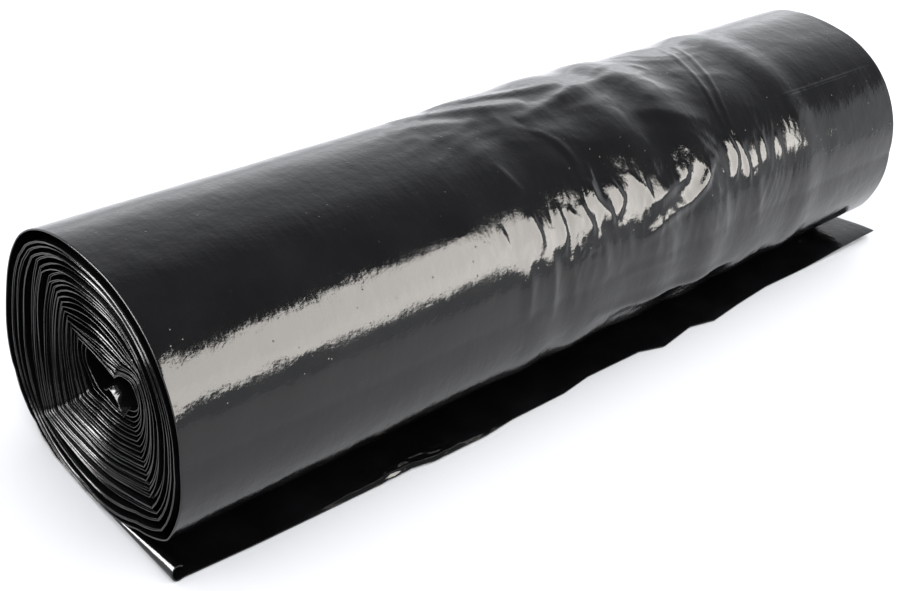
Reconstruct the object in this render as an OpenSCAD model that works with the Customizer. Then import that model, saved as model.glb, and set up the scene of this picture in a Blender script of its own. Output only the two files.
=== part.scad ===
// Roll of bin bags: one folded strip of film, wound without a core tube.
// The roll lies along X with its near end at -X. The loose tail lies on the floor at the front, -Y.
// The origin is on the floor, at mid length, straight under the middle of the core.
// Angles run round the roll as seen from the near end: 0 front, 90 top, 180 back, 270 floor.

/* [Film] */
// Width of the folded strip of film, which sets the length of the roll
strip_w = 350; // [200:5:500]
// Thickness of the folded strip
film_t = 0.5; // [0.3:0.05:0.8]
// Turns of the strip from the core to the floor
turns = 24; // [12:1:30]
// Gap between neighbouring turns at the core
turn_gap = 0.6; // [0.3:0.05:1.2]
// Gap added under the loose outermost turn at the front
outer_gap_front = 1.2; // [0:0.1:5]
// Gap added under the loose outermost turn at the top
outer_gap_top = 3.6; // [0:0.1:5]
// Gap added under the loose outermost turn at the back
outer_gap_back = 3.4; // [0:0.1:5]
// Gap added under the loose outermost turn towards the floor
outer_gap_floor = 1.6; // [0:0.1:5]

/* [Slack] */
// Gap that a turn has gained at the front by the outside of the roll
slack_front = 0.22; // [0:0.02:2]
// Gap that a turn has gained at the top by the outside of the roll
slack_top = 0.48; // [0:0.02:2]
// Gap that a turn has gained at the back by the outside of the roll
slack_back = 0.26; // [0:0.02:2]
// Gap that a turn has gained towards the floor by the outside of the roll
slack_floor = 0.5; // [0:0.02:2]

/* [Core] */
// Reach of the open core from its centre to the front
core_front = 12.3; // [9:0.1:20]
// Reach of the open core to the top
core_top = 6.7; // [5:0.1:12]
// Reach of the open core to the back
core_back = 12.9; // [9:0.1:20]
// Reach of the open core towards the floor
core_floor = 5.7; // [4.5:0.1:12]
// Room left above the centre of the core under the dent in its top
dent_room = 1.5; // [0.8:0.1:3]
// Number of turns that the dent runs out through
dent_turns = 12; // [4:1:20]
// Angle of the dent round the core
dent_at = 65; // [45:1:100]
// Room left below the centre of the core over the arched free end
arch_room = 1; // [0.8:0.1:3]

/* [Corners] */
// Fullness of the turns round the core: 2 is an oval, more is squarer
full_core = 2.2; // [2:0.1:3]
// Fullness of the outer turn between front and top
full_top_front = 2; // [2:0.1:4]
// Fullness of the outer turn between top and back
full_top_back = 2.6; // [2:0.1:4]
// Fullness of the outer turn between back and floor
full_floor_back = 2.3; // [2:0.1:4]
// Fullness of the outer turn between floor and front
full_floor_front = 2; // [2:0.1:4]

/* [Creases] */
// Angle of the crease that cuts through the middle turns at the lower back
lower_crease_at = 218; // [200:1:240]
// Height of the lower back crease
lower_crease_h = 1.6; // [0:0.1:3]
// Angle of the crease at the lower front of the outer turns
front_crease_at = 330; // [315:1:340]
// Height of the lower front crease
front_crease_h = 4.4; // [0:0.1:6]
// Angle of the crease at the upper back of the outer turns
upper_crease_at = 144; // [125:1:160]
// Height of the upper back crease
upper_crease_h = 0.6; // [0:0.1:3]

/* [Ends] */
// How far the core has slid back from the near end and out of the far one
core_slide = 8; // [0:0.5:20]
// How far the turn under the outermost one stands out of the near end
rim_slide = 0.5; // [0:0.5:8]
// Wander of the strip to and fro along the roll as it was wound
strip_wander = 1; // [0:0.1:3]

/* [Loose outer turn] */
// Height of the gathers that run round the roll
gather_h = 1.2; // [0:0.1:2.5]
// Distance from one gather to the next
gather_pitch = 31; // [20:1:60]
// Smooth film between the near end and the gathers
smooth_near = 122; // [40:1:150]
// Smooth film between the gathers and the far end
smooth_far = 42; // [20:1:100]
// Height of the slack bulge along the top
bulge_h = 2; // [0:0.1:4]
// Half the length of the bulge
bulge_half = 62; // [20:1:90]
// Distance of the middle of the bulge from the near end
bulge_at = 190; // [90:1:220]

/* [Floor and tail] */
// How far the roll has settled into its flat spot
flat_sink = 2; // [0.5:0.1:4]
// Reach of the tail along the floor, from under the core to its free edge
tail_reach = 44.8; // [30:0.5:80]
// How far the tail's layers have fanned out past the far end of the roll
tail_fan = 9; // [0:0.5:20]
// Depth of the shallow waves in the free edge
tail_wave = 1.5; // [0:0.1:3]
// Length of one wave of the free edge
tail_wave_len = 58; // [40:1:150]

/* [Hidden] */

film_colour = [0.07, 0.07, 0.075];

// Sides of a turn, and the reach of the core and the slack on each
FRONT = 0;
TOP = 1;
BACK = 2;
FLOOR = 3;
core_reach = [core_front, core_top, core_back, core_floor];
slack = [slack_front, slack_top, slack_back, slack_floor];
outer_gap = [outer_gap_front, outer_gap_top, outer_gap_back, outer_gap_floor];
fullness = [full_top_front, full_top_back, full_floor_back, full_floor_front];

// Faces of the strip: towards the core and away from it
INSIDE = -1;
OUTSIDE = 1;

// Rings of points along the strip
turn_steps = 30;
outer_steps = 40;
arch_steps = 6;
tail_steps = 7;

// The arched free end runs between these parts of its half width, and meets the winding at this ring
arch_from = -0.8;
arch_to = 0.9;
arch_end = turn_steps / 6;

// Columns of points across the outer turn: in the smooth film, the gathers and the smooth film again
near_columns = 4;
gather_columns = 18;
far_columns = 2;

// Spread of the dent and of the creases to either side, in degrees
dent_front_spread = 28;
dent_back_spread = 60;
crease_spread = 24;
front_crease_below = 18;
front_crease_above = 36;
folds = [dent_at, lower_crease_at, front_crease_at, upper_crease_at];

// The lower back crease grows over its first turns and fades before the outer ones.
// The other two grow from these shares of the turns to the outside.
lower_crease_grow = 4;
lower_crease_end = 7;
lower_crease_fade = 6;
front_crease_from = 3 / 4;
upper_crease_from = 1 / 3;

// Parts of a turn: the outer turn lifts and settles, and the flat spot reaches back under it
pitch = film_t + turn_gap;
lift_turn = 0.14;
settle_turn = 0.3;
flat_turn = 0.25;

// The strip wanders by this angle of its wave a turn, and less over the last quarter of the turns
wander_angle = 222;
wander_fade = 4;

// Gathers: where they are fullest, how far round they reach, how they slant, and the beat in their height
gather_at = 80;
gather_half = 90;
gather_fade = 40;
gather_slant = 0.5;
gather_beat = 0.37;
gather_beat_start = 50;
bulge_angle = 110;
bulge_spread = 60;

tail_wave_start = 40;

function ease(t) = let (c = min(1, max(0, t))) c * c * (3 - 2 * c);

function bell(t) = 1 - ease(abs(t));

// Signed angle from one direction to another
function turned(a, from) = let (d = (a - from + 180) % 360) (d < 0 ? d + 360 : d) - 180;

// A sharp ridge: 1 at its own angle, falling straight to 0 on either side
function ridge(a, at, before, after) =
    let (d = turned(a, at)) max(0, 1 - (d < 0 ? -d / before : d / after));

// Direction of the strip after n turns
function angle(n) = 270 + 360 * (n - turns);

// Reach of turn n from the core's centre to one side
function reach(side, n) =
    core_reach[side] + n * pitch + slack[side] * n * n / (2 * turns)
    + outer_gap[side] * ease((n - turns + 1) / lift_turn);

// Smooth outline of turn n: four quarters of an oval, each with its own fullness
function outline(a, n) =
    let (
        b = ((a % 360) + 360) % 360,
        quarter = floor(b / 90),
        across = reach(quarter == 0 || quarter == 3 ? FRONT : BACK, n),
        up = reach(quarter < 2 ? TOP : FLOOR, n),
        power = full_core + (fullness[quarter] - full_core) * n / turns
    )
    pow(pow(abs(cos(b)) / across, power) + pow(abs(sin(b)) / up, power), -1 / power);

dent_depth = outline(dent_at, 0) - dent_room;

// Creases of turn n: the lower back one fades out before the outer turns, the other two grow towards them
function creases(a, n) =
    let (
        lower = ease(n / lower_crease_grow) * (1 - ease((n - turns + lower_crease_end) / lower_crease_fade)),
        front = ease((n / turns - front_crease_from) / (1 - front_crease_from)),
        upper = ease((n / turns - upper_crease_from) / (1 - upper_crease_from))
    )
    lower * lower_crease_h * ridge(a, lower_crease_at, crease_spread, crease_spread)
    + front * front_crease_h * ridge(a, front_crease_at, front_crease_below, front_crease_above)
    + upper * upper_crease_h * ridge(a, upper_crease_at, crease_spread, crease_spread);

function dent(a, n) =
    dent_depth * ridge(a, dent_at, dent_front_spread, dent_back_spread) * max(0, 1 - n / dent_turns);

// Gathers and the slack bulge of the outer turn, at angle a and at a distance s from its near edge
function gathers(a, s) =
    let (
        show = 1 - ease((abs(turned(a, gather_at)) - gather_half) / gather_fade),
        ends = ease((s - smooth_near) / gather_pitch) * ease((strip_w - smooth_far - s) / gather_pitch),
        phase = 360 * (s - smooth_near) / gather_pitch + gather_slant * turned(a, gather_at),
        beat = 0.65 + 0.35 * sin(gather_beat * phase + gather_beat_start)
    )
    show * (
        gather_h * ends * beat * (0.5 + 0.5 * sin(phase))
        + bulge_h * bell((s - bulge_at) / bulge_half) * bell(turned(a, bulge_angle) / bulge_spread)
    );

// Slide of the strip along the roll after n turns
function slide(n) =
    n > turns - 1
    ? -rim_slide * (1 - ease((n - turns + 1) / settle_turn))
    : let (left = 1 - n / (turns - 1))
      -rim_slide + (core_slide + rim_slide) * left
      + strip_wander * min(1, wander_fade * left) * sin(wander_angle * n);

// Height of the underside of the strip at the flat spot, where each turn rests on the next
function bed(n) = let (k = turns - n) pitch * min(k, 2 * max(0, k - flat_turn));

core_h = reach(FLOOR, turns) + film_t / 2 - flat_sink;

// A point of the winding, on one face, at a distance s from the strip's near edge
function wound_point(n, face, s) =
    let (
        a = angle(n),
        loose = n > turns - 1 ? gathers(a, s) : 0,
        r = outline(a, n) + creases(a, n) - dent(a, n) + face * film_t / 2 + loose,
        floor_h = bed(n) + (face == INSIDE ? film_t : 0)
    )
    [s - strip_w / 2 + slide(n), -r * cos(a), max(core_h + r * sin(a), floor_h)];

// The free inner end arches over the floor of the core, to where the winding starts
arch_foot = wound_point(arch_end / turn_steps, INSIDE, 0) + wound_point(arch_end / turn_steps, OUTSIDE, 0);

function arch_point(t, face, s) =
    let (
        y = arch_foot[1] / 2,
        z = arch_foot[2] / 2,
        crown = core_h - arch_room
    )
    [s - strip_w / 2 + slide(0), y * t, z + (crown - z) * (1 - t * t) - face * film_t / 2];

// The tail lies flat on the floor, out to a wavy free edge
function tail_point(t, face, s) =
    let (
        off_middle = 2 * s / strip_w - 1,
        wave = tail_wave * sin(360 * s / tail_wave_len + tail_wave_start) * bell(off_middle),
        x = s - strip_w / 2 + tail_fan * t * s / strip_w
    )
    [x, -t * (tail_reach + wave), face == INSIDE ? film_t : 0];

// Stations along the strip, moved onto a fold that they lie close to
function on_fold(n, steps) =
    let (near = [for (f = folds) let (d = turned(f, angle(n))) if (abs(d) < 180 / steps) d])
    n + (len(near) > 0 ? near[0] / 360 : 0);

arch_stations = [for (i = [0 : arch_steps - 1]) arch_from + (arch_to - arch_from) * i / (arch_steps - 1)];
inner_stations = [for (i = [arch_end : turn_steps * (turns - 1) - 1]) on_fold(i / turn_steps, turn_steps)];
outer_stations = [for (i = [0 : outer_steps]) on_fold(turns - 1 + i / outer_steps, outer_steps)];
tail_stations = [for (i = [1 : tail_steps]) i / tail_steps];

gather_w = strip_w - smooth_near - smooth_far;
wide_columns = [
    for (i = [0 : near_columns - 1]) smooth_near * i / near_columns,
    for (i = [0 : gather_columns - 1]) smooth_near + gather_w * i / gather_columns,
    for (i = [0 : far_columns]) strip_w - smooth_far + smooth_far * i / far_columns
];
end_columns = [0, strip_w];

// One ring goes along the inside of the strip, and back along its outside
function ring_columns(columns) = [
    for (s = columns) [INSIDE, s],
    for (i = [len(columns) - 1 : -1 : 0]) [OUTSIDE, columns[i]]
];

narrow = ring_columns(end_columns);
wide = ring_columns(wide_columns);
narrow_rings = len(arch_stations) + len(inner_stations);
wide_rings = len(outer_stations) + len(tail_stations);
wide_start = narrow_rings * len(narrow);

strip_points = [
    for (t = arch_stations, c = narrow) arch_point(t, c[0], c[1]),
    for (n = inner_stations, c = narrow) wound_point(n, c[0], c[1]),
    for (n = outer_stations, c = wide) wound_point(n, c[0], c[1]),
    for (t = tail_stations, c = wide) tail_point(t, c[0], c[1])
];

function two_triangles(a, b, c, d) = [[a, b, c], [a, c, d]];

// Walls between the rings of one width, from the first point of the first ring
function wall_faces(start, rings, size) = [
    for (i = [0 : rings - 2], j = [0 : size - 1])
        let (
            here = start + i * size,
            next = (j + 1) % size
        )
        each two_triangles(here + j, here + next, here + size + next, here + size + j)
];

// A flat cap on one ring, column by column
function cap_faces(start, size) = [
    for (j = [0 : size / 2 - 2])
        each two_triangles(start + j, start + size - 1 - j, start + size - 2 - j, start + j + 1)
];

function flipped(faces) = [for (f = faces) [f[2], f[1], f[0]]];

// The step from the last narrow ring to the first wide one: a fan on each face, and the two edges
step_faces = let (a = wide_start - len(narrow), b = wide_start, m = len(wide_columns)) [
    [a, a + 1, b + m - 1],
    for (j = [0 : m - 2]) [a, b + j + 1, b + j],
    each two_triangles(a + 1, a + 2, b + m, b + m - 1),
    [a + 2, a + 3, b + 2 * m - 1],
    for (j = [m : 2 * m - 2]) [a + 2, b + j + 1, b + j],
    each two_triangles(a + 3, a, b, b + 2 * m - 1)
];

strip_faces = concat(
    cap_faces(0, len(narrow)),
    wall_faces(0, narrow_rings, len(narrow)),
    step_faces,
    wall_faces(wide_start, wide_rings, len(wide)),
    flipped(cap_faces(wide_start + (wide_rings - 1) * len(wide), len(wide)))
);

module film_roll() {
    color(film_colour) polyhedron(points = strip_points, faces = strip_faces, convexity = 20);
}

film_roll();
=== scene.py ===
"""Coreless roll of glossy film bags: the wound strip, its loose outer turn and its tail."""

import math

import bmesh
import bpy
from mathutils import Matrix, Vector, noise


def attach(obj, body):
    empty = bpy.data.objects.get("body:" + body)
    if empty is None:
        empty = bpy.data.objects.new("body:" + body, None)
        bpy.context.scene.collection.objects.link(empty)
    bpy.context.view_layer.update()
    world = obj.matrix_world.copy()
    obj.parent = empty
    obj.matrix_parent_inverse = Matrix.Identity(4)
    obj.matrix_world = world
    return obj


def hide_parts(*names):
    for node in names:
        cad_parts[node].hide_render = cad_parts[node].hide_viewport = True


bl_info = {
    "name": "Bag Roll",
    "version": (1, 0, 0),
    "blender": (4, 5, 0),
    "location": "View3D > Sidebar > Bag Roll",
    "description": "Models a coreless roll of glossy film bags with a loose tail",
    "category": "Add Mesh",
}

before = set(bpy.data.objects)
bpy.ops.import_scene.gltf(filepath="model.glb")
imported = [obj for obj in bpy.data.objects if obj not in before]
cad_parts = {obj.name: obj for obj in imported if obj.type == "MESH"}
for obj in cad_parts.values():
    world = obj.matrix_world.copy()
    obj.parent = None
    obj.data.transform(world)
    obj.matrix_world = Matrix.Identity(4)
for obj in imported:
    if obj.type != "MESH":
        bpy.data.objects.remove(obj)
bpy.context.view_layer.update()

NODE = "film_roll"

# Shape of the winding, in metres and degrees. Angles run 0 front, 90 top, 180 back, 270 floor. Four values
# in a row are for those sides, and the four of the fullness are for the quarters after them
FRONT, TOP, BACK, FLOOR = range(4)
CORE_REACH = (0.0123, 0.0067, 0.0129, 0.0057)
SLACK = (0.00022, 0.00048, 0.00026, 0.0005)
OUTER_GAP = (0.0012, 0.0036, 0.0034, 0.0016)
CORE_FULLNESS = 2.2
FULLNESS = (2.0, 2.6, 2.3, 2.0)
CORE_BACK, CORE_BACK_TURNS = 0.002, 8

# Uneven tightness of the inner turns on each side: how far they sit off the even winding, and where most
TIGHTNESS = ((-0.003, 1.2), (0.0022, 1.0), (-0.0032, 2.4), (0.003, 0.8))

# Dent in the top of the core, and the turns over which it runs out
DENT_AT, DENT_ROOM, DENT_TURNS = 65, 0.0005, 14
DENT_FRONT, DENT_FRONT_LOSS, DENT_BACK, DENT_SOFT = 30, 12, 52, 0.8

# Long creases of the turns, and the corner at the upper back of those under the outer one
LOWER_CREASE_AT, LOWER_CREASE_H, LOWER_CREASE_SOFT = 228, 0.0022, 0.4
FRONT_CREASE_AT, FRONT_CREASE_H = 330, 0.0044
UPPER_CREASE_AT, UPPER_CREASE_H = 144, 0.0006
CREASE_SPREAD, FRONT_BELOW, FRONT_ABOVE, CREASE_SOFT = 24, 18, 36, 1.2
CORNER_AT, CORNER_SHIFT, CORNER_TURNS, CORNER_H = 168, 26, 16, 0.0017
CORNER_BEFORE, CORNER_AFTER, CORNER_SOFT = 34, 40, 0.6

# Rise of the looser turns over the top, their uneven bunching, and how far film is pulled straight
TOP_AT, TOP_SPREAD, TOP_H = 115, 115, 0.002
BUNCH_TIGHT, BUNCH_LOOSE, BUNCH_BEAT = 0.00008, 0.0002, 0.00035
STRAIGHT_BACK, STRAIGHT_BELOW = 0.35, 0.5

# Slide of the turns along the roll, the flat spot, and the lift of the outer turn
CORE_SLIDE, RIM_SLIDE, STRIP_WANDER = 0.008, 0.0005, 0.001
FLAT_SINK, FLAT_TURN = 0.002, 0.25
LIFT_TURN, SETTLE_TURN = 0.14, 0.3

# Free inner end, arched over the floor of the core
ARCH_ROOM, ARCH_FROM, ARCH_TO, ARCH_END = 0.001, -0.8, 0.9, 1 / 6
ARCH_WAVE, ARCH_FLARE, ARCH_CRUMPLE, ARCH_PULL = 0.0008, 0.0017, 0.0005, 0.0015

# Stations of the wound layers: round each turn, along the arch, and in from each rim in metres
TURN_STEPS, ARCH_STEPS = 60, 15
RIM_STATIONS = (0.0, 0.00013, 0.00025, 0.00037, 0.0013, 0.0026, 0.0045, 0.01, 0.025, 0.05)

# Rims of the wound layers: their reach and that of their lips in mm, then their unevenness in metres
RIM_MM, LIP_MM = 26, 0.37
RIM_FLARE, RIM_WAVE, RIM_LAG, RIM_RAGGED = 0.0001, 0.00012, 0.0009, 0.0004

# Folds of the loose outer turn. Each has a line of places (mm from the near edge, angle in degrees), a height
# in mm, and its widths in mm to the right and to the left of that line
FOLDS = (
    (((50, 56), (64, 47)), 0.30, 2, 2),
    (((33, 38), (38, 35), (41, 29)), 0.25, 3, 3),
    (((124, 51), (125, 40)), 0.3, 3, 1.2),
    (((138, 52), (139, 34)), 0.4, 4, 1.4),
    (((150, 50), (149.5, 36.5), (147, 28)), 0.6, 5, 2),
    (((151, 49), (158, 39)), 0.45, 3, 2.2),
    (((159.6, 48), (162, 32)), 0.6, 5, 2),
    (((167.6, 56), (167.2, 46), (173, 33)), 0.9, 5, 4),
    (((177, 54), (180, 42), (175, 34)), 0.6, 5, 1.6),
    (((186, 52), (191.5, 41)), 0.35, 1.4, 1.4),
    (((192.4, 48), (192.4, 34)), 0.4, 3, 1.4),
    (((219, 49), (212, 41), (202, 38), (190, 34)), 0.9, 6, 3.5),
    (((227, 46), (223, 35), (213, 28.5), (201, 25.5), (185, 19)), 0.9, 4, 3),
    (((233, 46), (218, 32)), 0.6, 4, 2.2),
    (((242.5, 54), (244, 40), (239, 29)), 0.7, 4, 1.8),
    (((246, 50), (248.5, 36), (248, 26)), 0.55, 2.5, 1.8),
    (((261, 46), (259.6, 32)), 0.4, 4, 2),
    (((270, 45), (270.3, 28)), 0.4, 4, 2),
    (((307.4, 38), (307, 24)), 0.4, 2.5, 2.5),
    (((262, 128), (256, 107), (250, 88), (244, 66), (243, 56)), 0.35, 1.5, 1.5),
    (((268, 126), (262, 104), (255, 85), (249, 68), (246, 52)), 0.35, 1.5, 1.5),
    (((136, 78), (139, 59)), 0.35, 4, 2),
    (((160, 87), (165, 77), (167, 62)), 0.45, 3, 3),
    (((171, 64), (169, 53)), 0.35, 2, 2),
    (((131, 33), (130, 4)), 0.6, 5, 4),
    (((141, 34), (142, 0)), 0.5, 4, 4),
    (((150, 26), (153, 0)), 0.4, 4, 4),
    (((166, 32), (168, 8)), 0.4, 5, 4),
    (((178, 34), (180, 12)), 0.4, 4, 4),
    (((200, 24), (204, 4)), 0.3, 5, 5),
    (((232, 26), (236, 2)), 0.35, 5, 5),
    (((252, 30), (256, 0)), 0.35, 5, 5),
    (((118, 120), (136, 112), (150, 104)), 0.5, 6, 6),
    (((128, 131), (142, 122), (156, 112), (172, 106)), 0.9, 5, 6),
    (((146, 134), (158, 124), (176, 116), (194, 110)), 0.9, 4, 4),
    (((160, 96), (171, 97.5), (183, 100.6), (203, 104.6), (228, 106)), 1.2, 6, 5),
    (((161, 93), (169.5, 79), (175, 72.5), (186, 68), (195, 70), (203, 80)), 0.8, 10, 14),
    (((202, 80), (213, 76), (222, 70), (238, 62)), 0.8, 5, 7),
    (((174, 5), (194, 6), (216, 1.5)), 0.4, 3, 3),
    (((163, -9), (186, -12), (210, -15), (250, -17)), 0.9, 5, 4),
    (((276, 61), (346, 60)), 0.28, 1.0, 1.0),
)

# Nicks in the outer rim: where they stand round the roll, and how far they stand out in mm
NICKS = ((170.8, 1.1), (208.4, 1.3), (228.9, 1.3), (239.2, 1.0), (263.2, 0.6))
NICK_SPREAD, NICK_REACH, NICK_LEAN = 4, 0.009, 0.6

# Loose outer turn: the mm in a degree round it, its gathers in mm, and its slack bulge in mm and degrees
ARC_OF_DEGREE = 0.75
GATHER_FROM, GATHER_PITCH, GATHER_MARGIN = 122, 31, 42
BULGE_AT, BULGE_HALF, BULGE_ANGLE, BULGE_SPREAD = 190, 62, 110, 60

# Tail: its waves, its spread along the floor, its far corner, its hem, and the slack tube of its near edge
TAIL_WAVE, TAIL_SPREAD, FAR_CORNER = 0.00035, 0.009, 0.055
HEM_AT_MM, HEM_HALF_MM, HEM_RISE, HEM_STREAK = 84, 50, 0.0015, 0.0006
TUBE_LEAST, TUBE_WRAP, TUBE_LEAN, TUBE_ROOM, TUBE_FADE = 0.0003, 1.25, 0.0009, 0.001, 0.06

# Lights: name, place, facing, width and height
SOFTBOXES = (
    ("front", (0.3, -0.8, 0.54), (-0.6, 0.8, 0), 1.0, 0.6),
    ("left", (-0.975, 0.46, 0.64), (0.73, -0.42, -0.545), 1.0, 0.8),
    ("fill", (-1.14, -0.45, 1.1), (0.64, 0.3, -0.71), 0.7, 0.7),
    ("top", (-0.2, 0.1, 1.6), (0, 0, -1), 1.0, 1.0),
    ("wide", (0, 0, 2.4), (0, 0, -1), 9.0, 9.0),
)
WHITE = (1.0, 1.0, 1.0)
FLOOR_DROP = 0.0001


class RollSizes(bpy.types.PropertyGroup):
    """Sizes of the roll's film, its wrinkles and its tail"""

    strip_width: bpy.props.FloatProperty(
        name="Strip Width",
        description="Width of the folded strip of film",
        default=0.350,
        min=0.2,
        unit="LENGTH",
    )
    film_thickness: bpy.props.FloatProperty(
        name="Film Thickness",
        description="Thickness of the folded strip",
        default=0.0005,
        min=0.0002,
        unit="LENGTH",
    )
    layer_thickness: bpy.props.FloatProperty(
        name="Layer Thickness",
        description="Thickness of one of the two layers that a wound turn shows",
        default=0.00025,
        min=0.0001,
        unit="LENGTH",
    )
    layer_gap: bpy.props.FloatProperty(
        name="Layer Gap",
        description="Widest gap between the two layers of a turn",
        default=0.00055,
        min=0.0,
        unit="LENGTH",
    )
    rim_droop: bpy.props.FloatProperty(
        name="Rim Droop",
        description="How far the rims of the wound turns droop",
        default=0.00021,
        min=0.0,
        unit="LENGTH",
    )
    turns: bpy.props.IntProperty(
        name="Turns", description="Turns of the strip from the core to the floor", default=24, min=12
    )
    turn_gap: bpy.props.FloatProperty(
        name="Turn Gap",
        description="Gap between neighbouring turns at the core",
        default=0.0006,
        min=0.0003,
        unit="LENGTH",
    )
    rim_round: bpy.props.FloatProperty(
        name="Rim Rounding",
        description="Rounding of the folded rims of the film",
        default=0.00022,
        min=0.0,
        unit="LENGTH",
    )
    gather_height: bpy.props.FloatProperty(
        name="Gather Height",
        description="Height of the gathers that run round the loose outer turn",
        default=0.0012,
        min=0.0,
        unit="LENGTH",
    )
    bulge_height: bpy.props.FloatProperty(
        name="Bulge Height",
        description="Height of the slack bulge along the top",
        default=0.002,
        min=0.0,
        unit="LENGTH",
    )
    fold_height: bpy.props.FloatProperty(
        name="Fold Height",
        description="Height of the sharp folds, as a share of their heights in the list",
        default=1.0,
        min=0.0,
        subtype="FACTOR",
    )
    wrinkle_height: bpy.props.FloatProperty(
        name="Wrinkle Height",
        description="Height of the small wrinkles between the sharp folds",
        default=0.0003,
        min=0.0,
        unit="LENGTH",
    )
    dimple_height: bpy.props.FloatProperty(
        name="Dimple Height",
        description="Height of the shallow dimples all over the film",
        default=0.00016,
        min=0.0,
        unit="LENGTH",
    )
    tail_roll: bpy.props.FloatProperty(
        name="Tail Roll",
        description="Radius of the rolled near edge of the tail at its free corner",
        default=0.0019,
        min=0.0,
        unit="LENGTH",
    )
    tail_lift: bpy.props.FloatProperty(
        name="Tail Lift",
        description="Rise of the far corner of the tail",
        default=0.003,
        min=0.0,
        unit="LENGTH",
    )


class FilmFinish(bpy.types.PropertyGroup):
    """Colour and gloss of the film"""

    colour: bpy.props.FloatVectorProperty(
        name="Film Colour",
        description="Colour of the film under its gloss",
        default=(0.0016, 0.0016, 0.0019),
        min=0.0,
        max=1.0,
        subtype="COLOR",
    )
    worn_colour: bpy.props.FloatVectorProperty(
        name="Rubbed Colour",
        description="Colour where the film is rubbed and dusty",
        default=(0.0034, 0.0034, 0.0039),
        min=0.0,
        max=1.0,
        subtype="COLOR",
    )
    roughness: bpy.props.FloatProperty(
        name="Roughness",
        description="Roughness of the glossy film",
        default=0.085,
        min=0.0,
        max=1.0,
        subtype="FACTOR",
    )
    grain_depth: bpy.props.FloatProperty(
        name="Grain Depth",
        description="Depth of the fine grain of the film",
        default=0.00003,
        min=0.0,
        unit="LENGTH",
    )
    mottle_depth: bpy.props.FloatProperty(
        name="Mottle Depth",
        description="Depth of the soft mottling of the film",
        default=0.00016,
        min=0.0,
        unit="LENGTH",
    )
    pimple_height: bpy.props.FloatProperty(
        name="Pimple Height",
        description="Height of the small hard pimples in the film",
        default=0.00009,
        min=0.0,
        unit="LENGTH",
    )


class StudioSettings(bpy.types.PropertyGroup):
    """Floor, lights and camera"""

    floor_colour: bpy.props.FloatVectorProperty(
        name="Floor Colour",
        description="Colour of the plain floor",
        default=(0.5, 0.505, 0.52),
        min=0.0,
        max=1.0,
        subtype="COLOR",
    )
    floor_size: bpy.props.FloatProperty(
        name="Floor Size", description="Side of the floor", default=12.0, min=2.0, unit="LENGTH"
    )
    room_level: bpy.props.FloatProperty(
        name="Room Level", description="Brightness of the dim room", default=0.33, min=0.0
    )
    front_level: bpy.props.FloatProperty(
        name="Front Softbox", description="Brightness of the softbox at the front", default=14.5, min=0.0
    )
    front_colour: bpy.props.FloatVectorProperty(
        name="Front Softbox Colour",
        description="Colour of the softbox at the front",
        default=(1.0, 0.96, 0.9),
        min=0.0,
        max=1.0,
        subtype="COLOR",
    )
    left_level: bpy.props.FloatProperty(
        name="Left Softbox", description="Brightness of the softbox at the left", default=34.0, min=0.0
    )
    fill_level: bpy.props.FloatProperty(
        name="Fill Softbox",
        description="Brightness of the softbox behind the camera",
        default=22.0,
        min=0.0,
    )
    top_level: bpy.props.FloatProperty(
        name="Top Softbox", description="Brightness of the softbox overhead", default=1.0, min=0.0
    )
    wide_level: bpy.props.FloatProperty(
        name="Floor Light",
        description="Brightness of the wide light that only lights the floor",
        default=2.75,
        min=0.0,
    )
    back_level: bpy.props.FloatProperty(
        name="Back Glow",
        description="Brightness of the pale background behind the roll",
        default=1.85,
        min=0.0,
    )
    low_level: bpy.props.FloatProperty(
        name="Low Glow",
        description="Brightness of the pale backdrop just over the floor",
        default=1.15,
        min=0.0,
    )
    lens: bpy.props.FloatProperty(
        name="Lens", description="Focal length of the camera", default=56.22, min=10.0, unit="CAMERA"
    )
    eye: bpy.props.FloatVectorProperty(
        name="Camera Place",
        description="Place of the camera",
        default=(-0.3397, -0.2459, 0.3007),
        subtype="TRANSLATION",
    )
    heading: bpy.props.FloatProperty(
        name="Heading",
        description="Direction of the camera over the floor",
        default=0.67626,
        subtype="ANGLE",
    )
    down: bpy.props.FloatProperty(
        name="Downward Tilt", description="How far the camera looks down", default=0.62267, subtype="ANGLE"
    )
    roll: bpy.props.FloatProperty(
        name="Camera Roll",
        description="Turn of the camera about its own axis",
        default=0.23515,
        subtype="ANGLE",
    )


def ease(t):
    """Rises softly from 0 to 1 as t does."""
    c = min(1.0, max(0.0, t))
    return c * c * (3 - 2 * c)


def bell(t):
    """1 at 0, falling softly to 0 at 1 on either side."""
    return 1 - ease(abs(t))


def turned(a, start):
    """Signed angle from one direction to another, in degrees."""
    return (a - start + 180) % 360 - 180


def ridge(a, at, before, after, soft=0.0):
    """1 at its own angle, falling straight to 0 on either side. soft rounds the top, in degrees."""
    d = turned(a, at)
    far = math.hypot(d, soft) - soft
    return max(0.0, 1 - far / (before if d < 0 else after))


def crumple(x, y, seed, sharp=2.0):
    """Creased noise: 1 along thin crests, 0 in the hollows between them."""
    n = abs(noise.noise(Vector((x, y, seed)))) * 2.4
    return (1 - min(1.0, n)) ** sharp


def swell(x, y, seed):
    """Soft noise between -1 and 1."""
    return noise.noise(Vector((x, y, seed)))


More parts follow.
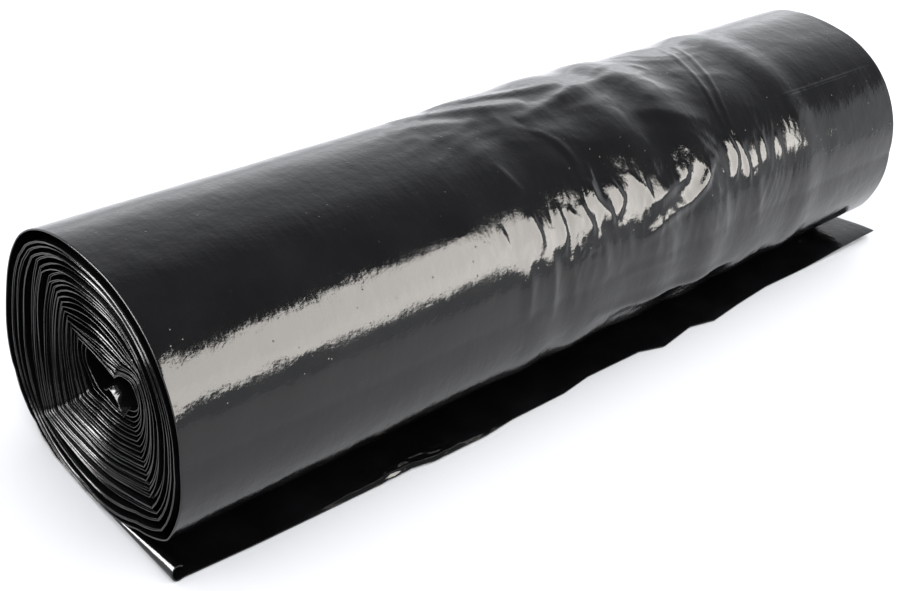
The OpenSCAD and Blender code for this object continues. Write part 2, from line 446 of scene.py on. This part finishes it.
def fold_height(folds, mm, arc):
    """Height of the folds at a place of the loose film, from its distance to each fold's line."""
    total = 0.0
    for line, height, right, left in folds:
        reach = max(right, left)
        if not (min(p[0] for p in line) - reach < mm < max(p[0] for p in line) + reach):
            continue
        if not (min(p[1] for p in line) - reach < arc < max(p[1] for p in line) + reach):
            continue
        best, side, share = reach, 1.0, 0.0
        for k, ((x0, y0), (x1, y1)) in enumerate(zip(line, line[1:])):
            dx, dy = x1 - x0, y1 - y0
            t = max(0.0, min(1.0, ((mm - x0) * dx + (arc - y0) * dy) / (dx * dx + dy * dy)))
            ox, oy = mm - x0 - t * dx, arc - y0 - t * dy
            gap = math.hypot(ox, oy)
            if gap < best:
                best, side, share = gap, dx * oy - dy * ox, (k + t) / (len(line) - 1)
        width = left if side > 0 else right
        if best < width:
            total += height * (1 - best / width) ** 1.3 * (4 * share * (1 - share)) ** 0.6
    return total


class Winding:
    """Where the flat strip of film lies once it is wound: turn n of the strip, s across it."""

    def __init__(self, sizes):
        self.turns = sizes.turns
        self.width = sizes.strip_width
        self.film = sizes.film_thickness
        self.pitch = sizes.film_thickness + sizes.turn_gap
        self.core_h = self.reach(FLOOR, self.turns) + self.film / 2 - FLAT_SINK
        self.dent_depth = self.outline(DENT_AT, 0) - DENT_ROOM

    def angle(self, n):
        """Direction of turn n from the middle of the core, in degrees."""
        return 270 + 360 * (n - self.turns)

    def reach(self, side, n):
        """Distance of turn n from the middle of the core on one of the four sides."""
        return (
            CORE_REACH[side]
            + n * self.pitch
            + SLACK[side] * n * n / (2 * self.turns)
            + OUTER_GAP[side] * ease((n - self.turns + 1) / LIFT_TURN)
            + self.tightness(side, n)
        )

    def tightness(self, side, n):
        """How far turn n sits off the even winding on one side."""
        amount, skew = TIGHTNESS[side]
        last = self.turns - 1
        return amount * math.sin(math.pi * (n / last) ** skew) if n < last else 0.0

    def outline(self, a, n):
        """Radius of the smooth oval of turn n at angle a."""
        b = a % 360
        quarter = int(b // 90)
        across = self.reach(FRONT if quarter in (0, 3) else BACK, n)
        up = self.reach(TOP if quarter < 2 else FLOOR, n)
        power = CORE_FULLNESS + (FULLNESS[quarter] - CORE_FULLNESS) * n / self.turns
        b = math.radians(b)
        return (abs(math.cos(b) / across) ** power + abs(math.sin(b) / up) ** power) ** (-1 / power)

    def creases(self, a, n):
        """Height of the long creases of turn n at angle a."""
        lower = ease(n / 3) * (1 - ease((n - self.turns + 6) / 4.5))
        front = 0.4 * ease((n - 5) / 6) + 0.6 * ease(4 * n / self.turns - 3)
        upper = ease(1.5 * n / self.turns - 0.5)
        spread = CREASE_SPREAD
        return (
            lower * LOWER_CREASE_H * ridge(a, LOWER_CREASE_AT, spread, spread, LOWER_CREASE_SOFT)
            + front * FRONT_CREASE_H * ridge(a, FRONT_CREASE_AT, FRONT_BELOW, FRONT_ABOVE, CREASE_SOFT)
            + upper * UPPER_CREASE_H * ridge(a, UPPER_CREASE_AT, spread, spread, CREASE_SOFT)
        )

    def dent(self, a, n):
        """Depth of the core's dent in turn n at angle a."""
        deep = 1 - min(1.0, n / DENT_TURNS) ** 1.9
        front = DENT_FRONT - DENT_FRONT_LOSS * ease(n / 9)
        return self.dent_depth * ridge(a, DENT_AT, front, DENT_BACK, DENT_SOFT) * deep

    def upper_corner(self, n):
        """Angle of the corner at the upper back, which moves up from turn to turn."""
        return CORNER_AT - CORNER_SHIFT * ease(n / CORNER_TURNS)

    def settle(self, a, n):
        """How far a turn under the outer one stands off the even winding."""
        top = TOP_H * bell(turned(a, TOP_AT) / TOP_SPREAD) * ease((n - 12) / 9)
        corner = CORNER_H * ease(n / 3) * (1 - 0.6 * ease((n - 18) / 5))
        corner *= ridge(a, self.upper_corner(n), CORNER_BEFORE, CORNER_AFTER, CORNER_SOFT)
        loose = ease((n - 14) / 4)
        bunch = (BUNCH_TIGHT + BUNCH_LOOSE * loose) * swell(n * 0.9, a / 70, 12.4) * ease(n / 3)
        bunch += BUNCH_BEAT * loose * math.sin(math.radians(133 * n))
        return (top + corner + bunch) * (1 - ease((n - self.turns + 1.5) / 0.45))

    def wound_radius(self, a, n):
        """Radius of turn n at angle a, before its film is pulled straighter."""
        r = self.outline(a, n) + self.creases(a, n) - self.dent(a, n)
        return r + self.settle(a % 360, n) if n < self.turns - 1 else r

    def straightened(self, a, n):
        """Radius of a turn whose film is pulled straighter between its folds."""
        r = self.wound_radius(a, n)
        b, corner = a % 360, self.upper_corner(n)
        loose = 1 - ease((n - self.turns + 5) / 3)
        spans = (
            (DENT_AT, corner, 1 - ease((n - 5) / 10)),
            (corner, LOWER_CREASE_AT, STRAIGHT_BACK * loose * ease(n / 6)),
            (LOWER_CREASE_AT, FRONT_CREASE_AT, STRAIGHT_BELOW * loose * ease(n / 3)),
        )
        for start, end, share in spans:
            if start < b < end and share > 0:
                r0, r1 = self.wound_radius(start, n), self.wound_radius(end, n)
                before, after = math.radians(b - start), math.radians(end - b)
                chord = r0 * r1 * math.sin(before + after) / (r0 * math.sin(before) + r1 * math.sin(after))
                r += share * (chord - r)
        return r

    def slide(self, n):
        """How far turn n has slid along the roll, away from the near end."""
        if n > self.turns - 1:
            return -RIM_SLIDE * (1 - ease((n - self.turns + 1) / SETTLE_TURN))
        left = 1 - n / (self.turns - 1)
        loose = 0.25 + 0.75 * ease((n - 13) / 5)
        wander = STRIP_WANDER * loose * min(1.0, 4 * left) * math.sin(math.radians(222 * n))
        return -RIM_SLIDE + (CORE_SLIDE + RIM_SLIDE) * left + wander

    def bed(self, n):
        """Height of what turn n lies on where the roll is flat underneath."""
        k = self.turns - n
        return self.pitch * min(k, 2 * max(0.0, k - FLAT_TURN))

    def point(self, n, s, lift=0.0, along=0.0):
        """Middle of the film at turn n and at s from the near edge, moved outwards by lift and along X."""
        a = math.radians(self.angle(n))
        r = self.straightened(self.angle(n), n) + lift
        back = CORE_BACK * max(0.0, 1 - n / CORE_BACK_TURNS)
        lowest = self.bed(n) + self.film / 2
        if math.sin(a) < 0:
            lowest -= min(0.0, lift)
        return Vector(
            (
                s - self.width / 2 + self.slide(n) + along,
                back - r * math.cos(a),
                max(self.core_h + r * math.sin(a), lowest),
            )
        )

    def arch(self, t, s, lift=0.0, along=0.0):
        """The free inner end, arched over the floor of the core."""
        foot = self.point(ARCH_END, 0)
        crown = self.core_h - ARCH_ROOM
        rise = 1 - abs(t + 0.25) ** 1.3 if t > -0.25 else 1 - (abs(t + 0.25) / 0.75) ** 1.3
        z = foot.z + (crown - foot.z) * rise - lift
        return Vector((s - self.width / 2 + self.slide(0) + along, foot.y * t, z))


def film_sheet(name, rows, columns, runs, place):
    """A wound strip with a vertex for each row and column, whose UV is its place on the flat film."""
    bm = bmesh.new()
    film = bm.loops.layers.uv.new("film")
    bmesh.ops.create_grid(bm, x_segments=len(columns) - 1, y_segments=len(rows) - 1, size=0.5)
    cell = {}
    for v in bm.verts:
        cell[v] = (round((v.co.y + 0.5) * (len(rows) - 1)), round((v.co.x + 0.5) * (len(columns) - 1)))
    for face in bm.faces:
        face.smooth = True
        for loop in face.loops:
            i, j = cell[loop.vert]
            loop[film].uv = (columns[j], runs[i])
    for v, (i, j) in cell.items():
        v.co = place(rows[i], columns[j])
    mesh = bpy.data.meshes.new(name)
    bm.to_mesh(mesh)
    bm.free()
    piece = bpy.data.objects.new(name, mesh)
    bpy.context.scene.collection.objects.link(piece)
    return piece


def spaced(marks):
    """Positions from (position, count) marks: count even steps from each mark to the next."""
    places = []
    for (start, count), (end, _) in zip(marks, marks[1:]):
        places += [start + (end - start) * i / count for i in range(count)]
    return places + [marks[-1][0]]


def lengths(rows, place, middle):
    """Distance along the strip at each row, measured at its middle."""
    runs, last = [0.0], place(rows[0], middle)
    for row in rows[1:]:
        here = place(row, middle)
        runs.append(runs[-1] + (here - last).length)
        last = here
    return runs


def finish_film(piece, thickness, rounding, material):
    """Gives a sheet its wall and rounded rims, its finish and its place in the frame."""
    wall = piece.modifiers.new("wall", "SOLIDIFY")
    wall.thickness = thickness
    wall.offset = 0.0
    rim = piece.modifiers.new("rim", "BEVEL")
    rim.width = min(rounding, thickness * 0.45)
    rim.segments = 3
    rim.limit_method = "ANGLE"
    rim.angle_limit = math.radians(62)
    piece.data.materials.append(material)
    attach(piece, "root")
    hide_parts(NODE)


def node(tree, kind, **values):
    """A shader node with its settings and the values of its sockets, named by their labels."""
    made = tree.nodes.new(kind)
    for key, value in values.items():
        label = key.replace("_", " ").title()
        if hasattr(made, key):
            setattr(made, key, value)
        else:
            made.inputs[label].default_value = value
    return made


def film_material(finish):
    """Glossy film: soft mottling, fine grain, hair creases round the roll and hard pimples."""
    made = bpy.data.materials.get("black_film_gloss")
    if made:
        return made
    made = bpy.data.materials.new("black_film_gloss")
    made.use_nodes = True
    tree = made.node_tree
    join = tree.links.new
    shader = tree.nodes["Principled BSDF"]
    shader.inputs["IOR"].default_value = 1.4
    place = tree.nodes.new("ShaderNodeTexCoord")
    flat = tree.nodes.new("ShaderNodeUVMap")
    flat.uv_map = "film"

    # Rubbed and dusty patches change the colour and the gloss
    patches = node(tree, "ShaderNodeTexNoise", scale=38.0, detail=4.0, roughness=0.6)
    join(place.outputs["Object"], patches.inputs["Vector"])
    tint = tree.nodes.new("ShaderNodeValToRGB")
    tint.color_ramp.elements[0].position = 0.42
    tint.color_ramp.elements[0].color = (*finish.colour, 1)
    tint.color_ramp.elements[1].position = 0.72
    tint.color_ramp.elements[1].color = (*finish.worn_colour, 1)
    join(patches.outputs["Fac"], tint.inputs["Fac"])
    join(tint.outputs["Color"], shader.inputs["Base Color"])
    gloss = node(tree, "ShaderNodeMapRange", from_min=0.35, from_max=0.7)
    gloss.inputs["To Min"].default_value = finish.roughness * 0.8
    gloss.inputs["To Max"].default_value = finish.roughness * 1.5
    join(patches.outputs["Fac"], gloss.inputs["Value"])
    join(gloss.outputs["Result"], shader.inputs["Roughness"])

    # Soft mottling, a few millimetres across
    mottle = node(tree, "ShaderNodeTexNoise", scale=170.0, detail=3.0, roughness=0.55)
    join(place.outputs["Object"], mottle.inputs["Vector"])
    mottle_bump = node(tree, "ShaderNodeBump", strength=1.0, distance=finish.mottle_depth)
    join(mottle.outputs["Fac"], mottle_bump.inputs["Height"])

    # Fine grain
    grain = node(tree, "ShaderNodeTexNoise", scale=900.0, detail=4.0, roughness=0.65)
    join(place.outputs["Object"], grain.inputs["Vector"])
    grain_bump = node(tree, "ShaderNodeBump", strength=1.0, distance=finish.grain_depth)
    join(grain.outputs["Fac"], grain_bump.inputs["Height"])
    join(mottle_bump.outputs["Normal"], grain_bump.inputs["Normal"])

    # Hair creases that run along the strip, round the roll
    stretch = tree.nodes.new("ShaderNodeMapping")
    stretch.inputs["Scale"].default_value = (420, 26, 1)
    join(flat.outputs["UV"], stretch.inputs["Vector"])
    hairs = node(tree, "ShaderNodeTexNoise", scale=1.0, detail=3.0, roughness=0.5, distortion=0.4)
    join(stretch.outputs["Vector"], hairs.inputs["Vector"])
    hair_bump = node(tree, "ShaderNodeBump", strength=1.0, distance=finish.grain_depth * 1.6)
    join(hairs.outputs["Fac"], hair_bump.inputs["Height"])
    join(grain_bump.outputs["Normal"], hair_bump.inputs["Normal"])

    # Sparse hard pimples
    spots = node(tree, "ShaderNodeTexVoronoi", scale=320.0, randomness=1.0)
    join(place.outputs["Object"], spots.inputs["Vector"])
    dome = node(tree, "ShaderNodeMapRange", from_min=0.03, from_max=0.11)
    dome.inputs["To Min"].default_value = 1.0
    dome.inputs["To Max"].default_value = 0.0
    join(spots.outputs["Distance"], dome.inputs["Value"])
    rare = node(tree, "ShaderNodeMapRange", from_min=0.45, from_max=0.8)
    join(spots.outputs["Color"], rare.inputs["Value"])
    both = tree.nodes.new("ShaderNodeMath")
    both.operation = "MULTIPLY"
    join(dome.outputs["Result"], both.inputs[0])
    join(rare.outputs["Result"], both.inputs[1])
    spot_bump = node(tree, "ShaderNodeBump", strength=1.0, distance=finish.pimple_height)
    join(both.outputs["Value"], spot_bump.inputs["Height"])
    join(hair_bump.outputs["Normal"], spot_bump.inputs["Normal"])
    join(spot_bump.outputs["Normal"], shader.inputs["Normal"])
    return made


class MESH_OT_bag_roll_outer_turn(bpy.types.Operator):
    """Wind the loose outer turn, with its gathers and wrinkles"""

    bl_idname = "mesh.bag_roll_outer_turn"
    bl_label = "Outer Turn"
    bl_options = {"REGISTER", "UNDO"}

    def execute(self, context):
        sizes = context.scene.bag_roll_sizes
        roll = Winding(sizes)

        # The folds with their angles turned into mm round the roll
        folds = [
            ([(s, ARC_OF_DEGREE * a) for s, a in line], height, right, left)
            for line, height, right, left in FOLDS
        ]

        def place(n, s):
            a = 360 * (n - roll.turns + 1) - 90
            nick = sum(h / 1000 * ridge(a, at, NICK_SPREAD, NICK_SPREAD) for at, h in NICKS)
            nick *= 1 - ease(s / NICK_REACH)
            lift = self.looseness(sizes, folds, a, s) + nick
            return roll.point(n, s, lift=lift, along=nick * NICK_LEAN)

        # Angles of the stations: close together over the front and the top, wider underneath
        turn = spaced([(-90, 6), (-62, 14), (-30, 60), (58.5, 8), (62.5, 42), (140, 38), (270, 0)])
        rows = [roll.turns - 1 + (a + 90) / 360 for a in turn]
        w = roll.width
        columns = spaced([(0.0, 5), (0.004, 36), (0.112, 206), (0.285, 26), (w - 0.004, 5), (w, 0)])
        runs = lengths(rows, lambda n, s: roll.point(n, s), roll.width / 2)
        piece = film_sheet("outer_turn", rows, columns, runs, place)
        finish_film(
            piece, sizes.film_thickness, sizes.rim_round, film_material(context.scene.bag_roll_finish)
        )
        return {"FINISHED"}

    def looseness(self, sizes, folds, a, s):
        """How far the loose film stands off its even winding, at angle a and s from the near edge."""
        mm = 1000 * s
        arc = ARC_OF_DEGREE * a
        width = 1000 * sizes.strip_width
        show = 1 - ease((abs(turned(a, 80)) - 90) / 40)

        # Gathers round the roll, and the slack bulge along the top
        pitch = GATHER_PITCH
        ends = ease((mm - GATHER_FROM) / pitch) * ease((width - GATHER_MARGIN - mm) / pitch)
        phase = math.radians(360 * (mm - GATHER_FROM) / pitch + 0.5 * turned(a, 80))
        beat = 0.65 + 0.35 * math.sin(0.37 * phase + math.radians(50))
        lift = sizes.gather_height * ends * beat * (0.5 + 0.5 * math.sin(phase))
        bulge = sizes.bulge_height * bell((mm - BULGE_AT) / BULGE_HALF)
        lift += bulge * bell(turned(a, BULGE_ANGLE) / BULGE_SPREAD)

        # Sharp folds, each in its own place
        lift += 0.001 * sizes.fold_height * fold_height(folds, mm, arc)

        # Small wrinkles between them
        front = ease((mm - 118) / 34) * (1 - ease((mm - 262) / 60)) * bell((a - 34) / 46)
        slant = math.radians(58 + 14 * math.sin(mm / 23))
        along = mm * math.cos(slant) + arc * math.sin(slant)
        over = -mm * math.sin(slant) + arc * math.cos(slant)
        sharp = crumple(along / 22, over / 6.5, 3.1)
        steep = crumple(mm / 7.5 + 0.4 * swell(mm / 30, arc / 20, 8.0), arc / 40, 7.7)
        lift += sizes.wrinkle_height * front * (0.6 * sharp + 0.5 * steep)
        knot = bell((mm - 157) / 12) * bell((a - 25) / 10)
        lift += sizes.wrinkle_height * knot * crumple(mm / 3.6, arc / 3.2, 21.0, 1.4)
        top = ease((mm - 96) / 40) * (1 - ease((mm - 262) / 60)) * bell((a - 108) / 50)
        slanted = crumple((mm - 0.6 * arc) / 20, (arc + 5 * math.sin(mm / 13)) / 8, 11.3)
        lift += sizes.wrinkle_height * top * slanted

        # Shallow dimples everywhere
        dimples = swell(mm / 15, arc / 11, 1.7) + 0.5 * swell(mm / 6.5, arc / 5.0, 5.2)
        lift += sizes.dimple_height * show * dimples * (0.7 + 0.3 * front)
        return lift


class MESH_OT_bag_roll_tail(bpy.types.Operator):
    """Lay the tail on the floor, with its rolled near edge and ragged free edge"""

    bl_idname = "mesh.bag_roll_tail"
    bl_label = "Tail"
    bl_options = {"REGISTER", "UNDO"}

    # Free edge of the tail: how far along the strip, and how far out from under the core
    EDGE = (
        (0.0, 0.0426),
        (0.010, 0.0418),
        (0.030, 0.0430),
        (0.075, 0.0443),
        (0.086, 0.0443),
        (0.094, 0.0457),
        (0.117, 0.0461),
        (0.130, 0.0450),
        (0.155, 0.0451),
        (0.169, 0.0434),
        (0.196, 0.0440),
        (0.207, 0.0470),
        (0.225, 0.0445),
        (0.237, 0.0469),
        (0.255, 0.0451),
        (0.275, 0.0438),
        (0.308, 0.0445),
        (0.350, 0.0454),
    )

    def execute(self, context):
        sizes = context.scene.bag_roll_sizes
        roll = Winding(sizes)
        columns = spaced([(0.0, 28), (0.010, 50), (0.070, 80), (0.130, 150), (roll.width, 0)])
        rows = spaced([(0.0, 14), (0.55, 14), (0.9, 14), (1.0, 0)])

        def place(t, s):
            return self.laid(sizes, roll, t, s)

        runs = lengths(rows, place, roll.width / 2)
        piece = film_sheet("tail", rows, columns, runs, place)
        finish_film(
            piece, sizes.film_thickness, sizes.rim_round, film_material(context.scene.bag_roll_finish)
        )
        return {"FINISHED"}

    def edge(self, s):
        """How far out the free edge lies, at s across the strip."""
        for (s0, y0), (s1, y1) in zip(self.EDGE, self.EDGE[1:]):
            if s <= s1:
                return y0 + (y1 - y0) * (s - s0) / (s1 - s0)
        return self.EDGE[-1][1]

    def laid(self, sizes, roll, t, s):
        """A point of the tail: t from under the core to the free edge, s across the strip."""
        mm = 1000 * s
        half = sizes.film_thickness / 2
        y = -t * self.edge(s)
        out = ease((t - 0.25) / 0.75)
        far = ease((s - roll.width + FAR_CORNER) / FAR_CORNER)
        x = s - roll.width / 2 + TAIL_SPREAD * t * s / roll.width

        # Low waves, the lifted far corner, and the raised hem with its streaks
        z = half + TAIL_WAVE * out * (0.5 + 0.5 * swell(mm / 26, 40 * t / 9, 2.2))
        z += sizes.tail_lift * far * ease((t - 0.35) / 0.65) ** 1.5
        hem = bell((mm - HEM_AT_MM) / HEM_HALF_MM) * (0.6 + 0.5 * swell(mm / 5, 2.0, 7.1))
        z += HEM_RISE * hem * ease((t - 0.5) / 0.44) * (1 - ease((t - 0.965) / 0.035) * 0.9)
        streaks = HEM_STREAK * hem * ease((t - 0.8) / 0.15)
        z += streaks * crumple(mm / 6, 20 * t, 5.5, 1.0) * ease((mm - 66) / 14)

        # The near edge is rolled into a slack tube that flattens towards the roll
        r = TUBE_LEAST + sizes.tail_roll * max(0.0, (t - 0.2) / 0.8)
        wrapped = TUBE_WRAP * math.pi * r
        if s < wrapped:
            turn = (wrapped - s) / r
            x = wrapped - roll.width / 2 - r * math.sin(turn)
            z = half + r * (1 - math.cos(turn))
            y += TUBE_LEAN * out * (1 - math.cos(min(turn, math.pi)))
        x -= (wrapped - r - TUBE_ROOM) * (1 - ease(s / TUBE_FADE))
        return Vector((x, y, z))


class MESH_OT_bag_roll_inner_turns(bpy.types.Operator):
    """Wind the two layers of the inner turns, from the arched end in the core outwards"""

    bl_idname = "mesh.bag_roll_inner_turns"
    bl_label = "Inner Turns"
    bl_options = {"REGISTER", "UNDO"}

    def execute(self, context):
        sizes = context.scene.bag_roll_sizes
        roll = Winding(sizes)
        w = roll.width
        columns = [*RIM_STATIONS, w * 0.35, w * 0.65, *(w - s for s in reversed(RIM_STATIONS))]
        across = ARCH_TO - ARCH_FROM
        arch = [("arch", ARCH_FROM + across * i / ARCH_STEPS) for i in range(ARCH_STEPS + 1)]
        first, last = round(TURN_STEPS * ARCH_END), TURN_STEPS * (roll.turns - 1)
        rows = arch + [("turn", self.on_fold(roll, i / TURN_STEPS)) for i in range(first, last + 1)]
        runs = lengths(rows, lambda row, s: self.wound(sizes, roll, row, s, 0), w / 2)
        for name, side in (("wound_inside", -1), ("wound_outside", 1)):
            piece = film_sheet(
                name, rows, columns, runs, lambda row, s: self.wound(sizes, roll, row, s, side)
            )
            finish_film(
                piece,
                sizes.layer_thickness,
                sizes.rim_round,
                film_material(context.scene.bag_roll_finish),
            )
        return {"FINISHED"}

    def on_fold(self, roll, n):
        """Moves a station onto a sharp fold that it lies close to."""
        for fold in (DENT_AT, LOWER_CREASE_AT, FRONT_CREASE_AT, roll.upper_corner(n)):
            d = turned(fold, roll.angle(n))
            if abs(d) < 180 / TURN_STEPS:
                return n + d / 360
        return n

    def wound(self, sizes, roll, row, s, side):
        """A point of one layer: row along the strip, s across it, side -1 inside, 1 outside, 0 between."""
        kind, n = row
        turn = n if kind == "turn" else 0.0
        a = roll.angle(n) if kind == "turn" else 200 * n
        mm = 1000 * min(s, roll.width - s)
        end = 1 - ease(mm / RIM_MM)
        walk = turn * 3.1

        # The rims droop, and those of the looser turns flare inwards over the top
        lip = max(0.0, 1 - mm / LIP_MM) ** 1.2
        sag = 0.8 + 0.6 * swell(turn * 1.3, a / 50, 14.0)
        droop = -sizes.rim_droop * math.sin(math.radians(a)) * sag * ease(turn / 2) * lip
        loose = ease((turn - 18.5) / 1.5) * bell(turned(a, 78) / 50)
        droop -= RIM_FLARE * loose * (0.6 + 0.8 * swell(turn * 0.9, 3.0, 17.0)) * lip

        # The two layers lie into each other in the tight turns and part unevenly in the looser ones
        part = 0.06 + 0.94 * ease((turn - 8) / 9) * (0.5 + 0.8 * swell(walk, 0.0, 4.4))
        gap = sizes.layer_gap * (0.6 + 0.4 * end) * part
        lift = side * gap / 2 + droop
        lift += RIM_WAVE * end * swell(walk * 1.7, mm / 9, 9.1)
        lag = RIM_LAG * part * (0.5 + 0.5 * swell(walk * 0.8, 3.0 * side, 6.6)) if side < 0 else 0.0
        inward = 1 if s < roll.width / 2 else -1
        along = (lag + RIM_RAGGED * swell(walk * 2.3, side * 5.0, 2.9)) * inward * end
        if kind == "arch":
            flare = ARCH_FLARE * max(0.0, 1 - mm / 4) ** 1.4
            lift += ARCH_WAVE * end * swell(n * 5.0, mm / 3.5, 5.5) + flare
            lift += ARCH_CRUMPLE * end * crumple(n * 4.5, mm / 2.5, 8.5, 1.0)
            along -= ARCH_PULL * end * (0.6 + 0.4 * swell(n * 6.0, side * 2.0, 3.3))
            return roll.arch(n, s, lift, along)
        return roll.point(n, s, lift, along)


class SCENE_OT_bag_roll_studio(bpy.types.Operator):
    """Set up the plain floor, the soft lights and the camera"""

    bl_idname = "scene.bag_roll_studio"
    bl_label = "Studio"
    bl_options = {"REGISTER", "UNDO"}

    def execute(self, context):
        studio = context.scene.bag_roll_studio
        self.floor(context, studio)
        self.room(context, studio)
        for name, place, facing, width, height in SOFTBOXES:
            level = getattr(studio, name + "_level")
            colour = studio.front_colour if name == "front" else WHITE
            box = self.softbox(context, name, place, facing, width, height, level, colour)

            # The wide light only lights the floor, and the others only show as reflections in the film
            box.visible_diffuse, box.visible_glossy = name == "wide", name != "wide"
        self.camera(context, studio)
        return {"FINISHED"}

    def floor(self, context, studio):
        """The plain floor, just under the roll."""
        bm = bmesh.new()
        bmesh.ops.create_grid(bm, x_segments=1, y_segments=1, size=studio.floor_size / 2)
        bmesh.ops.translate(bm, verts=bm.verts, vec=(0, 0, -FLOOR_DROP))
        mesh = bpy.data.meshes.new("floor")
        bm.to_mesh(mesh)
        bm.free()
        floor = bpy.data.objects.new("floor", mesh)
        context.scene.collection.objects.link(floor)
        pale = bpy.data.materials.new("pale_floor")
        pale.use_nodes = True
        shader = pale.node_tree.nodes["Principled BSDF"]
        shader.inputs["Base Color"].default_value = (*studio.floor_colour, 1)
        shader.inputs["Roughness"].default_value = 0.9
        shader.inputs["Specular IOR Level"].default_value = 0.1
        mesh.materials.append(pale)

    def room(self, context, studio):
        """The dim room, whose glow shows in the film."""
        world = bpy.data.worlds.new("dim_room")
        world.use_nodes = True
        tree = world.node_tree
        sky = tree.nodes["Background"]
        sky.inputs["Color"].default_value = (0.95, 0.97, 1.0, 1)

        # The background behind the roll is pale and fades upwards, and a low pale backdrop stands all round
        way = tree.nodes.new("ShaderNodeTexCoord")
        parts = tree.nodes.new("ShaderNodeSeparateXYZ")
        tree.links.new(way.outputs["Generated"], parts.inputs["Vector"])
        high = node(tree, "ShaderNodeMapRange", from_min=0.0, from_max=0.8)
        high.inputs["To Min"].default_value = studio.back_level
        high.inputs["To Max"].default_value = 0.0
        tree.links.new(parts.outputs["Z"], high.inputs["Value"])
        behind = node(tree, "ShaderNodeMapRange", from_min=-0.1, from_max=0.45)
        tree.links.new(parts.outputs["Y"], behind.inputs["Value"])
        glow = tree.nodes.new("ShaderNodeMath")
        glow.operation = "MULTIPLY_ADD"
        tree.links.new(high.outputs["Result"], glow.inputs[0])
        tree.links.new(behind.outputs["Result"], glow.inputs[1])
        glow.inputs[2].default_value = studio.room_level
        low = node(tree, "ShaderNodeMapRange", from_min=0.34, from_max=0.47)
        low.inputs["To Min"].default_value = studio.low_level
        low.inputs["To Max"].default_value = 0.0
        tree.links.new(parts.outputs["Z"], low.inputs["Value"])
        both = tree.nodes.new("ShaderNodeMath")
        both.operation = "MAXIMUM"
        tree.links.new(glow.outputs["Value"], both.inputs[0])
        tree.links.new(low.outputs["Result"], both.inputs[1])
        tree.links.new(both.outputs["Value"], sky.inputs["Strength"])
        context.scene.world = world
        context.scene.view_settings.view_transform = "Standard"

    def softbox(self, context, name, place, facing, width, height, level, colour):
        """A rectangular light with its own brightness, at a place and facing a way."""
        light = bpy.data.lights.new(name + "_softbox", "AREA")
        light.shape = "RECTANGLE"
        light.size, light.size_y = width, height
        light.energy = level * math.pi * width * height
        light.color = colour
        box = bpy.data.objects.new(name + "_softbox", light)
        back = -Vector(facing).normalized()
        box.matrix_world = Matrix.Translation(place) @ back.to_track_quat("Z", "Y").to_matrix().to_4x4()
        box.visible_camera = False
        context.scene.collection.objects.link(box)
        return box

    def camera(self, context, studio):
        """The camera, from its place, its heading, its tilt and its turn about its own axis."""
        data = bpy.data.cameras.new("camera")
        data.lens = studio.lens
        data.sensor_width = 36.0
        data.clip_start = 0.01
        cy, sy = math.cos(studio.heading), math.sin(studio.heading)
        cp, sp = math.cos(studio.down), math.sin(studio.down)
        ahead = Vector((cp * cy, cp * sy, -sp))
        right = ahead.cross(Vector((0, 0, 1))).normalized()
        up = right.cross(ahead)
        across = math.cos(studio.roll) * right + math.sin(studio.roll) * up
        above = math.cos(studio.roll) * up - math.sin(studio.roll) * right
        turn = Matrix((across, above, -ahead)).transposed().to_4x4()
        camera = bpy.data.objects.new("camera", data)
        camera.matrix_world = Matrix.Translation(studio.eye) @ turn
        context.scene.collection.objects.link(camera)
        context.scene.camera = camera


class VIEW3D_PT_bag_roll(bpy.types.Panel):
    """Lists the pieces of the roll and its settings"""

    bl_idname = "VIEW3D_PT_bag_roll"
    bl_label = "Bag Roll"
    bl_space_type = "VIEW_3D"
    bl_region_type = "UI"
    bl_category = "Bag Roll"

    def draw(self, context):
        scene = context.scene
        for group in (scene.bag_roll_sizes, scene.bag_roll_finish, scene.bag_roll_studio):
            column = self.layout.column(align=True)
            for name in group.__annotations__:
                column.prop(group, name)
        for step in STEPS:
            self.layout.operator(step)


CLASSES = (
    RollSizes,
    FilmFinish,
    StudioSettings,
    MESH_OT_bag_roll_inner_turns,
    MESH_OT_bag_roll_outer_turn,
    MESH_OT_bag_roll_tail,
    SCENE_OT_bag_roll_studio,
    VIEW3D_PT_bag_roll,
)
STEPS = (
    "mesh.bag_roll_inner_turns",
    "mesh.bag_roll_outer_turn",
    "mesh.bag_roll_tail",
    "scene.bag_roll_studio",
)


def register():
    for cls in CLASSES:
        bpy.utils.register_class(cls)
    bpy.types.Scene.bag_roll_sizes = bpy.props.PointerProperty(type=RollSizes)
    bpy.types.Scene.bag_roll_finish = bpy.props.PointerProperty(type=FilmFinish)
    bpy.types.Scene.bag_roll_studio = bpy.props.PointerProperty(type=StudioSettings)


def unregister():
    del bpy.types.Scene.bag_roll_studio
    del bpy.types.Scene.bag_roll_finish
    del bpy.types.Scene.bag_roll_sizes
    for cls in reversed(CLASSES):
        bpy.utils.unregister_class(cls)


def main():
    register()
    bpy.ops.mesh.bag_roll_inner_turns()
    bpy.ops.mesh.bag_roll_outer_turn()
    bpy.ops.mesh.bag_roll_tail()
    bpy.ops.scene.bag_roll_studio()


if __name__ == "__main__":
    main()
